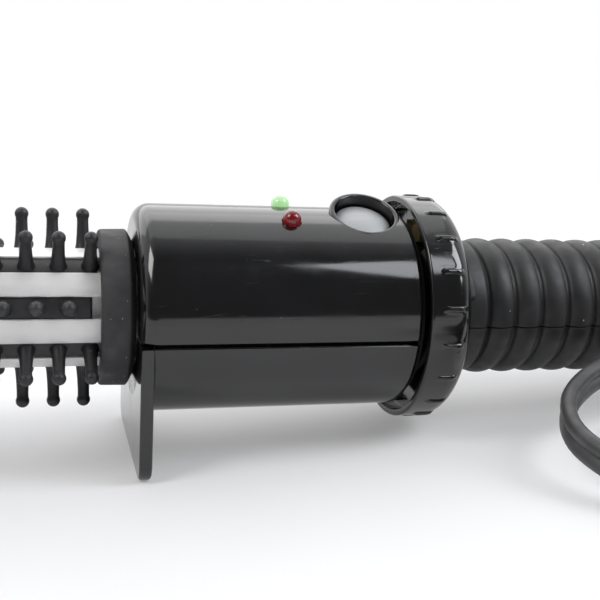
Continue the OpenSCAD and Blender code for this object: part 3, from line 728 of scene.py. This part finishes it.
def add_barrel():
    corners = []
    half = math.degrees(math.asin(CHANNEL_W / 2 / BARREL_R))
    for i in range(8):
        middle = math.radians(row_angle(i))
        for radial, across, fillet in channel_corners():
            a = middle + math.atan2(across, radial)
            r = math.hypot(radial, across)
            corners.append((r * math.cos(a), r * math.sin(a), fillet))
        steps = 10
        for k in range(1, steps):
            a = math.radians(row_angle(i) + half + (ROW_STEP - 2 * half) * k / steps)
            corners.append((BARREL_R * math.cos(a), BARREL_R * math.sin(a)))
    outline = filleted(corners, steps=4)
    rings = [[(u, -a, b) for a, b in outline] for u in (BARREL_FRONT, BARREL_FRONT + 0.01, BARREL_REAR)]
    verts, faces = loft(rings)
    barrel = add_mesh("barrel", verts, faces, POSED, 30)
    slot = filleted([(a * SLOT_W / 2, b * SLOT_H / 2, SLOT_CORNER_R) for a, b in SQUARE])
    verts, faces = loft([[(u, a, b) for a, b in slot] for u in (BARREL_FRONT - 1, BARREL_REAR + 1)])
    combine(barrel, [add_mesh("slot", verts, faces)], "DIFFERENCE")
    smooth(barrel, 30)
    return place(barrel, "brush", "aluminium", MATERIALS["aluminium"], "barrel_tube")


def pin_outline():
    """Ball, neck, slightly swelling shaft and flared foot, as (height, radius)."""
    ball = PIN_BALL_R
    centre = PIN_TIP_R - ball
    out = [(PIN_TIP_R, 0)]
    for k in range(1, 9):
        a = math.pi * k / 12
        out.append((centre + ball * math.cos(a), ball * math.sin(a)))
    foot = STRIP_TOP_R - 0.15
    out += [(centre - 0.85, 0.90), (centre - 1.4, 0.90), (centre - 3.2, 0.97), (foot + 1.3, 1.08),
            (foot + 0.7, 1.16), (foot + 0.35, 1.28), (foot + 0.1, 1.40), (foot, 1.45), (foot - 0.1, 0)]
    return out


def add_strip(i):
    crept = i == 0
    rear = COLLAR_X - 0.3 - (STRIP_CREEP if crept else 0)
    front = max(rear - STRIP_LENGTH, BARREL_FRONT)
    last = rear - (CREPT_PIN_MARGIN if crept else PIN_MARGIN) + (PIN_STAGGER if i % 2 else 0)
    count = math.floor((last - front - 2) / PIN_PITCH) + 1
    foot, mouth = CHANNEL_FOOT_W / 2 - STRIP_GAP, CHANNEL_W / 2 - STRIP_GAP
    low, step = CHANNEL_FLOOR_R + STRIP_GAP, CHANNEL_FLOOR_R + CHANNEL_FOOT_H - STRIP_GAP
    section = filleted([
        (-foot, low, 0.1), (foot, low, 0.1), (foot, step, 0.1), (mouth, step, 0.05),
        (mouth, STRIP_TOP_R, 0.16), (-mouth, STRIP_TOP_R, 0.16), (-mouth, step, 0.05), (-foot, step, 0.1),
    ], steps=3)
    matrix = POSED @ about(row_angle(i))
    rings = []
    for u in (front, front + 0.2, (front + rear) / 2, rear - 0.9, rear - 0.35, rear):
        shrink = 0.08 if u in (front, rear) else 0
        # The cut end is a little ragged
        ragged = 0.45 if u == rear else 0
        rings.append([
            (u - ragged * abs(math.sin(3.1 * y + i)), y * (1 - shrink), z - shrink * 0.6) for y, z in section
        ])
    verts, faces = loft(rings)
    parts = [add_mesh("strip", verts, faces, matrix, 40)]
    shape = pin_outline()
    for k in range(count):
        lean = 0.02 * math.sin(7.3 * k + 2.1 * i)
        at = Matrix.Translation((last - k * PIN_PITCH, 0, 0)) @ Matrix.Rotation(lean * 0.15, 4, "Y") @ UPRIGHT
        verts, faces = spin(shape, even(24))
        parts.append(add_mesh("pin", verts, faces, matrix @ at, 70))
    strip = join(f"pins_{i + 1}", parts)
    smooth(strip, 60)
    node = f"bristle_strip_{i + 1}"
    return place(strip, "brush", "pin_rubber", MATERIALS["pin_rubber"], node)


def add_tip():
    rear = BARREL_FRONT - 0.05
    outline = [(TIP_END, 0)]
    for k in range(1, 25):
        a = math.pi / 2 * k / 24
        outline.append((TIP_END + TIP_NOSE * (1 - math.cos(a)), TIP_R * math.sin(a)))
    # A turned groove near the rear edge, the edge's round, and the bore for the peg
    outline += [
        (rear - 3.4, TIP_R), (rear - 3.2, TIP_R - 0.25), (rear - 2.8, TIP_R - 0.25), (rear - 2.6, TIP_R),
        (rear - 0.7, TIP_R), (rear - 0.25, TIP_R - 0.2), (rear, TIP_R - 0.65),
        (rear, TIP_PEG_R), (rear - 7.9, TIP_PEG_R), (rear - 7.9, 0),
    ]
    verts, faces = spin(outline, even(128))
    tip = add_mesh("cool_tip", verts, faces)
    return place(tip, "brush", "tip_plastic", MATERIALS["tip_plastic"], "tip_cap")


def add_collar():
    collar = add_turned("collar", [
        (COLLAR_X, BARREL_R + 0.1, 0.15), (COLLAR_X, COLLAR_R - 0.1, 0.55),
        (COLLAR_REAR - 0.6, COLLAR_R, 0.5), (COLLAR_REAR + 0.3, COLLAR_R - 1.6, 0.3),
        (COLLAR_REAR + 0.3, BARREL_R + 0.1, 0.1),
    ])
    return place(collar, "brush", "collar_plastic", MATERIALS["collar_plastic"], "barrel_collar")


# Housing


def housing_outline():
    bore, rear_bore = BARREL_R + RUNNING_GAP, CORE_R + RUNNING_GAP
    inner = HOUSING_R - HOUSING_WALL
    rear_wall = HOUSING_LENGTH - HOUSING_REAR_WALL
    return filleted([
        (0, bore, 0.2), (0, HOUSING_R, HOUSING_EDGE_R), (HOUSING_LENGTH, HOUSING_R, 0.6),
        (HOUSING_LENGTH, rear_bore), (rear_wall, rear_bore), (rear_wall, inner),
        (HOUSING_END_WALL, inner), (HOUSING_END_WALL, bore),
    ], steps=14)


def boss_frames():
    """Places of the screws on the far side."""
    return [POSED @ Matrix.Translation((u, BOSS_Y, 0)) for u in (BOSS_INSET, HOUSING_LENGTH - BOSS_INSET)]


def extra_rows(outline, least, count):
    """The outline with its long outer run split, so that the surface has even faces."""
    out = []
    for i, p in enumerate(outline):
        q = outline[(i + 1) % len(outline)]
        out.append(p)
        if abs(p[1] - HOUSING_R) < 1e-6 and abs(q[1] - HOUSING_R) < 1e-6 and q[0] - p[0] > least:
            out += [(p[0] + (q[0] - p[0]) * k / count, HOUSING_R) for k in range(1, count)]
    return out


def cutter(radius, low, high, matrix, count=96):
    verts, faces = spin([(low, 0), (low, radius), (high, radius), (high, 0)], even(count))
    return add_mesh("cutter", verts, faces, matrix @ UPRIGHT)


def add_well():
    """Raised round well round the button, moulded with the upper shell."""
    return add_turned("well", [
        (-WELL_DEPTH, 2.2, 0.1), (-WELL_DEPTH, WELL_OUTER_R, 0.2), (0, WELL_OUTER_R, 0.36), (0, WELL_R, 0.28),
        (-WELL_DEPTH + 0.8, WELL_R, 0.2), (-WELL_DEPTH + 0.8, 2.2, 0.1),
    ], 96, button_frame() @ UPRIGHT, steps=6)


def add_upper_shell():
    part = HOUSING_PART_Z + GROOVE_W / 2
    verts, faces = half_turned(extra_rows(housing_outline(), 20, 24), part, True, 96)
    shell = add_mesh("upper", verts, faces)
    round_edges(shell, 0.22)
    cuts = [cutter(WELL_OUTER_R - 0.35, -WELL_DEPTH - 3, 9, button_frame())]
    for angle in LAMP_ANGLES.values():
        cuts.append(cutter(LAMP_R + 0.12, 8, 20, POSED @ about(angle, LAMP_X), 48))
    combine(shell, cuts, "DIFFERENCE")
    well = add_well()
    shell = join("upper_housing", [shell, well])
    smooth(shell, 32)
    weighted(shell)
    return place(shell, "brush", "housing_gloss", MATERIALS["housing_gloss"], "upper_shell")


def stand_outline(inset=0.0):
    r = STAND_CORNER_R
    side = HOUSING_R - inset
    top = HOUSING_PART_Z - GROOVE_W / 2 - inset
    low = -STAND_DROP + inset
    return filleted([(side, top), (-side, top), (-side, low, r - inset), (side, low, r - inset)], steps=10)


def add_lower_shell():
    part = HOUSING_PART_Z - GROOVE_W / 2
    verts, faces = half_turned(extra_rows(housing_outline(), 20, 24), part, False, 96)
    shell = add_mesh("lower", verts, faces)
    round_edges(shell, 0.22)
    combine(shell, [cutter(SCREW_RECESS_R, -20, SCREW_SEAT_Z, at, 48) for at in boss_frames()], "DIFFERENCE")
    edge = STAND_EDGE_R
    rings = []
    for k in range(5):
        a = math.pi / 2 * k / 4
        inset = edge * (1 - math.sin(a))
        rings.append([(edge * (1 - math.cos(a)), y, z) for y, z in stand_outline(inset)])
    rings += [[(STAND_T - p[0], p[1], p[2]) for p in ring] for ring in reversed(rings)]
    verts, faces = loft(rings)
    plate = add_mesh("plate", verts, faces)
    along = POSED @ Matrix.Rotation(math.pi / 2, 4, "Y")
    combine(plate, [cutter(BARREL_R + RUNNING_GAP, -5, 5, along)], "DIFFERENCE")
    low, high = HOUSING_R - 2.6, HOUSING_R - 0.9
    front, rear = HOUSING_END_WALL, HOUSING_LENGTH - HOUSING_REAR_WALL
    verts, faces = half_turned([(front, low), (front, high), (rear, high), (rear, low)], part, False, 96)
    lip = add_mesh("lip", verts, faces)
    rise = Matrix.Translation((0, 0, GROOVE_W))
    lip.data.transform(POSED @ rise @ POSED.inverted())
    shell = join("lower_housing", [shell, plate, lip])
    smooth(shell, 32)
    weighted(shell)
    return place(shell, "brush", "housing_gloss", MATERIALS["housing_gloss"], "lower_shell")


def add_housing_screws():
    """Cross-head screws of the two recesses that the photograph's side doesn't show."""
    low = SCREW_SEAT_Z - 0.05 - SCREW_HEAD_T
    outline = [
        (low, 0), (low, SCREW_HEAD_R - 0.5), (low + 0.35, SCREW_HEAD_R), (low + SCREW_HEAD_T, SCREW_HEAD_R),
        (low + SCREW_HEAD_T, SCREW_SHANK_R), (2, SCREW_SHANK_R), (2, 0),
    ]
    screws = []
    for at in boss_frames():
        verts, faces = spin(outline, even(48))
        screw = add_mesh("screw", verts, faces, at @ UPRIGHT)
        cuts = []
        for width, height in ((2.6, 0.5), (0.5, 2.6)):
            cross = [[(a * width / 2, b * height / 2, z) for a, b in SQUARE] for z in (-11, -9.8)]
            verts, faces = loft(cross)
            cuts.append(add_mesh("cut", verts, faces, at))
        combine(screw, cuts, "DIFFERENCE")
        screws.append(screw)
    pair = join("screws", screws)
    smooth(pair)
    return place(pair, "brush", "screw_steel", MATERIALS["screw_steel"], "housing_screws")


def add_button():
    low = -BUTTON_DROP - 1
    dome = [(-BUTTON_DROP + BUTTON_CROWN * (1 - (r / 4.3) ** 2), r) for r in (0, 0.8, 1.6, 2.4, 3.2, 3.9)]
    outline = dome + [
        (-BUTTON_DROP - 0.03, 4.38), (-BUTTON_DROP - 0.12, 4.56), (-BUTTON_DROP - 0.3, BUTTON_R),
        (low, BUTTON_R), (low, 1.8), (-WELL_DEPTH - 1.4, 1.8), (-WELL_DEPTH - 1.4, 0),
    ]
    verts, faces = spin(outline, even(96))
    button = add_mesh("button", verts, faces, button_frame() @ UPRIGHT, 40)
    return place(button, "button", "button_metallic", MATERIALS["button_metallic"], "power_button")


def add_lamp(name):
    angle = LAMP_ANGLES[name]
    base = HOUSING_R + 0.4
    turns = [math.pi / 2 * k / 12 for k in range(13)]
    dome = [(base + LAMP_R * math.cos(a), LAMP_R * math.sin(a)) for a in turns]
    outline = dome + [(LAMP_STEP, LAMP_R), (LAMP_STEP, LAMP_LIP_R), (LAMP_FOOT, LAMP_LIP_R), (LAMP_FOOT, 0)]
    verts, faces = spin(outline, even(48))
    lamp = add_mesh(f"lamp_{name}_lens", verts, faces, POSED @ about(angle, LAMP_X) @ UPRIGHT, 40)
    return place(lamp, "brush", f"lamp_{name}", MATERIALS[f"lamp_{name}"], f"lamp_{name}")


# Dial and handle


def add_dial():
    """The ridges are drawn into the surface, so its columns are close together on them."""
    ridge_at = [math.radians(RIDGE_PHASE + 360 / DIAL_RIDGES * k) for k in range(DIAL_RIDGES)]
    angles = []
    for a in ridge_at:
        angles += [a + RIDGE_HALF * t for t in (-1.6, -1.2, -0.9, -0.6, -0.3, 0, 0.3, 0.6, 0.9, 1.2, 1.6)]
        step = math.radians(360 / DIAL_RIDGES)
        angles += [a + 1.6 * RIDGE_HALF + (step - 3.2 * RIDGE_HALF) * k / 10 for k in range(1, 10)]
    bore, wall = CORE_R + RUNNING_GAP, DIAL_R - DIAL_WALL
    hub, recess = HOUSING_LENGTH + 0.3, DIAL_X + DIAL_RECESS
    outline = filleted([
        (DIAL_X, wall, 0.12), (DIAL_X, DIAL_R, 0.35), (DIAL_REAR, DIAL_R, DIAL_EDGE_R),
        (DIAL_REAR, bore, 0.2), (hub, bore), (hub, HUB_R, 0.15), (recess, HUB_R), (recess, wall, 0.3),
    ], steps=16)
    dense = []
    for i, (u, r) in enumerate(outline):
        dense.append((u, r))
        v, s = outline[(i + 1) % len(outline)]
        if u < v and r > DIAL_R - 0.01 and s > DIAL_R - 0.01:
            dense += [(u + (v - u) * k / 12, r + (s - r) * k / 12) for k in range(1, 12)]
    verts, faces = spin(dense, angles)
    out = []
    for u, y, z in verts:
        r = math.hypot(y, z)
        a = math.atan2(z, -y)
        if RIDGE_FROM - 0.6 < u < RIDGE_TO + 0.6 and r > DIAL_R - 2.1:
            off = min(abs((a - b + math.pi) % (2 * math.pi) - math.pi) for b in ridge_at) / RIDGE_HALF
            across = max(0, 1 - off ** 4 / 2.2) if off < 1.22 else 0
            run = min(1, max(0, (u - RIDGE_FROM) / 0.5)) * min(1, max(0, (RIDGE_TO - u) / 0.5))
            lift = RIDGE_H * across * math.sqrt(run)
            y, z = y * (1 + lift / r), z * (1 + lift / r)
        out.append((u, y, z))
    dial = add_mesh("dial", out, faces, POSED, 40)
    return place(dial, "dial", "dial_gloss", MATERIALS["dial_gloss"], "dial_ring")


def handle_outline():
    bore, wide = CORE_R + RUNNING_GAP, 8.95
    out = [
        (NECK_X, bore), (NECK_X, GROOVE_R + 0.45), (NECK_X + 0.25, GROOVE_R + 0.64),
        (NECK_X + 0.6, GROOVE_R + 0.7), (RIB_X - 1.1, GROOVE_R + 0.7), (RIB_X - 0.6, GROOVE_R + 0.58),
        (RIB_X - 0.2, GROOVE_R + 0.2), (RIB_X, GROOVE_R),
    ]
    depth = HANDLE_R - GROOVE_R
    for k in range(RIB_COUNT):
        for t in (0.06, 0.09, 0.13, 0.18, 0.25, 0.33, 0.42, 0.5, 0.58, 0.67, 0.75, 0.82, 0.87, 0.91, 0.94):
            s = (t - 0.06) / 0.88
            out.append((RIB_X + (k + t) * RIB_PITCH, GROOVE_R + depth * math.sin(math.pi * s) ** 0.5))
    out += [(END_X, GROOVE_R), (END_X + 0.15, GROOVE_R + 0.6), (END_X + 0.8, END_R)]
    e = 2
    out += [(HANDLE_REAR - e + e * math.sin(a), END_R - e + e * math.cos(a))
            for a in (math.pi / 2 * k / 10 for k in range(11))]
    out += [(HANDLE_REAR, 4.9), (HANDLE_REAR - 1.5, 4.9), (HANDLE_REAR - 1.5, 7.65), (HANDLE_REAR - 9, 7.65),
            (HANDLE_REAR - 9, wide), (NECK_X + 15.8, wide), (NECK_X + 15.8, bore)]
    return out


def add_handle(upper):
    seam = 0.07 if upper else -0.07
    verts, faces = half_turned(handle_outline(), HANDLE_PART_Z + seam, upper, 80)
    part = add_mesh("part", verts, faces, POSED, 45)
    round_edges(part, 0.12, 75, 2)
    name = "upper_handle" if upper else "lower_handle"
    if upper:
        side = MARK_W / 2
        mark = filleted([
            (-side, GROOVE_R, 0), (side, GROOVE_R, 0), (side, MARK_TOP, 0.5), (-side, MARK_TOP, 0.5),
        ], steps=6)
        rings = []
        for u, shrink in ((53.1, 0.4), (53.2, 0.15), (53.4, 0), (55.0, 0), (55.2, 0.15), (55.3, 0.4)):
            rings.append([(u, y * (1 - shrink * 0.2), z - (shrink if z > 11.3 else 0)) for y, z in mark])
        verts, faces = loft(rings)
        part = join(name, [part, add_mesh("mark", verts, faces, POSED @ about(MARK_ANGLE))])
    else:
        cuts = []
        for u in HANDLE_SCREW_X:
            cuts.append(cutter(SCREW_RECESS_R, -14, -7, POSED @ Matrix.Translation((u, 0, 0)), 48))
        combine(part, cuts, "DIFFERENCE")
    part.name = name
    smooth(part, 45)
    node = "handle_upper" if upper else "handle_lower"
    return place(part, "brush", "handle_matte", MATERIALS["handle_matte"], node)


def add_relief():
    """Tapered boot with staggered slots."""
    outline = filleted([
        (RELIEF_X, 0), (RELIEF_X, 6.2, 0.5), (RELIEF_X + 3.4, 6.2, 0.7), (RELIEF_X + 4.4, 4.6, 0.8),
        (RELIEF_REAR - 0.3, 3.2, 0.6), (RELIEF_REAR, 0),
    ], closed=False, steps=8)
    verts, faces = spin(outline, even(96))
    boot = add_mesh("boot", verts, faces)
    cuts = []
    for k in range(5):
        u = RELIEF_X + 6.5 + k * 3.6
        for side in (-1, 1):
            turn = Matrix.Rotation(math.pi / 2 * (k % 2), 4, "X")
            floor, mouth, rear = side * 2, side * 8, u + 1.2
            slot = filleted([(u, floor, 0.3), (rear, floor, 0.3), (rear, mouth), (u, mouth)], steps=4)
            verts, faces = loft([[(x, y, z) for x, y in slot] for z in (-6, 6)])
            cuts.append(add_mesh("cut", verts, faces, POSED @ turn))
    combine(boot, cuts, "DIFFERENCE")
    boot.name = "boot"
    smooth(boot, 35)
    return place(boot, "swivel", "cord_rubber", MATERIALS["cord_rubber"], "strain_relief")


# Stage

# Share of white in what the camera sees of the floor, from near the object to behind it (distances in m)
WHITE_REACH = (0.14, 0.42)
WHITE_SHARE = (0.24, 1.0)

# Soft lamps: place and size in m, power in W, colour
LIGHT_AIM = Vector((0, 0, 0.03))
LIGHTS = [
    ("overhead", (0.05, 0.35, 0.75), (0.9, 0.7), 1.15, (1, 1, 1)),
    ("behind", (0, 1.0, 0.8), (2.2, 1.0), 8.6, (1, 1, 1)),
    ("left", (-0.46, -0.17, 0.56), (0.28, 0.34), 2.1, (1, 0.985, 0.97)),
    ("right", (0.53, -0.22, 0.45), (0.26, 0.40), 2.5, (0.95, 0.975, 1)),
    ("window", (0.245, -0.30, 0.42), (0.10, 0.16), 0.25, (0.93, 0.96, 1)),
]


def show_white(f):
    """What the camera, gloss and glass see: lighter shadows near the object, and white behind it."""
    rays = f.node("ShaderNodeLightPath")
    seen = f.math("MAXIMUM", rays.outputs["Is Camera Ray"], rays.outputs["Is Glossy Ray"])
    seen = f.math("MAXIMUM", seen, rays.outputs["Is Transmission Ray"])
    away = f.node("ShaderNodeVectorMath", operation="LENGTH")
    f.link(f.node("ShaderNodeTexCoord").outputs["Object"], away.inputs["Vector"])
    share = f.math("MULTIPLY", seen, f.ramp(away.outputs["Value"], *WHITE_REACH, *WHITE_SHARE))
    white = f.node("ShaderNodeEmission")
    mixed = f.node("ShaderNodeMixShader")
    f.link(share, mixed.inputs["Fac"])
    f.link(f.shader.outputs["BSDF"], mixed.inputs[1])
    f.link(white.outputs["Emission"], mixed.inputs[2])
    f.link(mixed.outputs["Shader"], f.tree.nodes["Material Output"].inputs["Surface"])


def add_stage():
    """Pale floor that turns up into a backdrop behind the object."""
    profile = [(-2.4, 0), (-1, 0), (-0.3, 0), (0.3, 0), (0.9, 0)]
    turns = [math.pi / 2 * k / 16 for k in range(1, 17)]
    profile += [(0.9 + 0.7 * math.sin(a), 0.7 - 0.7 * math.cos(a)) for a in turns]
    profile += [(1.6, 1.4), (1.6, 3.0)]
    rings = [[(x, y, z) for y, z in profile] for x in (-3, 3)]
    n = len(profile)
    verts = rings[0] + rings[1]
    faces = [[k, k + 1, n + k + 1, n + k] for k in range(n - 1)]
    floor = add_mesh("floor", verts, faces, Matrix.Identity(4), 60)
    f = Finish("floor_white", (0.86, 0.86, 0.87), 0.55, Specular_IOR_Level=0.2)
    f.tint(f.ramp(f.noise(60), 0.4, 0.7), (0.84, 0.84, 0.855))
    f.bump(f.noise(0.8), 0.004)
    show_white(f)
    floor.data.materials.append(f.done())


def add_light(name, at, size, power, color):
    """Soft lamp aimed at the object."""
    data = bpy.data.lights.new(name, "AREA")
    data.shape = "RECTANGLE"
    data.size, data.size_y = size
    data.energy = power
    data.color = color
    light = bpy.data.objects.new(name, data)
    light.location = at
    light.rotation_euler = (LIGHT_AIM - Vector(at)).to_track_quat("-Z", "Y").to_euler()
    light.visible_camera = False
    bpy.context.scene.collection.objects.link(light)


def add_world():
    """White studio: bright behind the object, dim on the photographer's side, and white where it is seen."""
    world = bpy.data.worlds.new("studio")
    world.use_nodes = True
    tree = world.node_tree
    background = tree.nodes["Background"]
    source = tree.nodes.new("ShaderNodeTexCoord")
    split = tree.nodes.new("ShaderNodeSeparateXYZ")
    tree.links.new(source.outputs["Generated"], split.inputs["Vector"])
    back = tree.nodes.new("ShaderNodeMapRange")
    back.interpolation_type = "SMOOTHSTEP"
    for key, value in (("From Min", -0.45), ("From Max", 0.25), ("To Min", 0.12), ("To Max", 0.9)):
        back.inputs[key].default_value = value
    tree.links.new(split.outputs["Y"], back.inputs["Value"])
    rays = tree.nodes.new("ShaderNodeLightPath")
    seen = tree.nodes.new("ShaderNodeMix")
    seen.inputs["B"].default_value = 1
    tree.links.new(rays.outputs["Is Camera Ray"], seen.inputs["Factor"])
    tree.links.new(back.outputs["Result"], seen.inputs["A"])
    tree.links.new(seen.outputs["Result"], background.inputs["Strength"])
    background.inputs["Color"].default_value = (0.97, 0.985, 1, 1)
    bpy.context.scene.world = world


# Build

bpy.context.scene.view_settings.view_transform = "Standard"
add_camera()
cord, cord_line = add_cord()
tie = add_tie()
plug = add_plug()
finish_nodes()

add_barrel()
for row in range(8):
    add_strip(row)
add_tip()
add_collar()
add_upper_shell()
add_lower_shell()
add_housing_screws()
add_button()
add_lamp("green")
add_lamp("red")
add_dial()
add_handle(True)
add_handle(False)
add_relief()

add_stage()
add_world()
for name, at, size, power, color in LIGHTS:
    add_light(name, at, size, power, color)
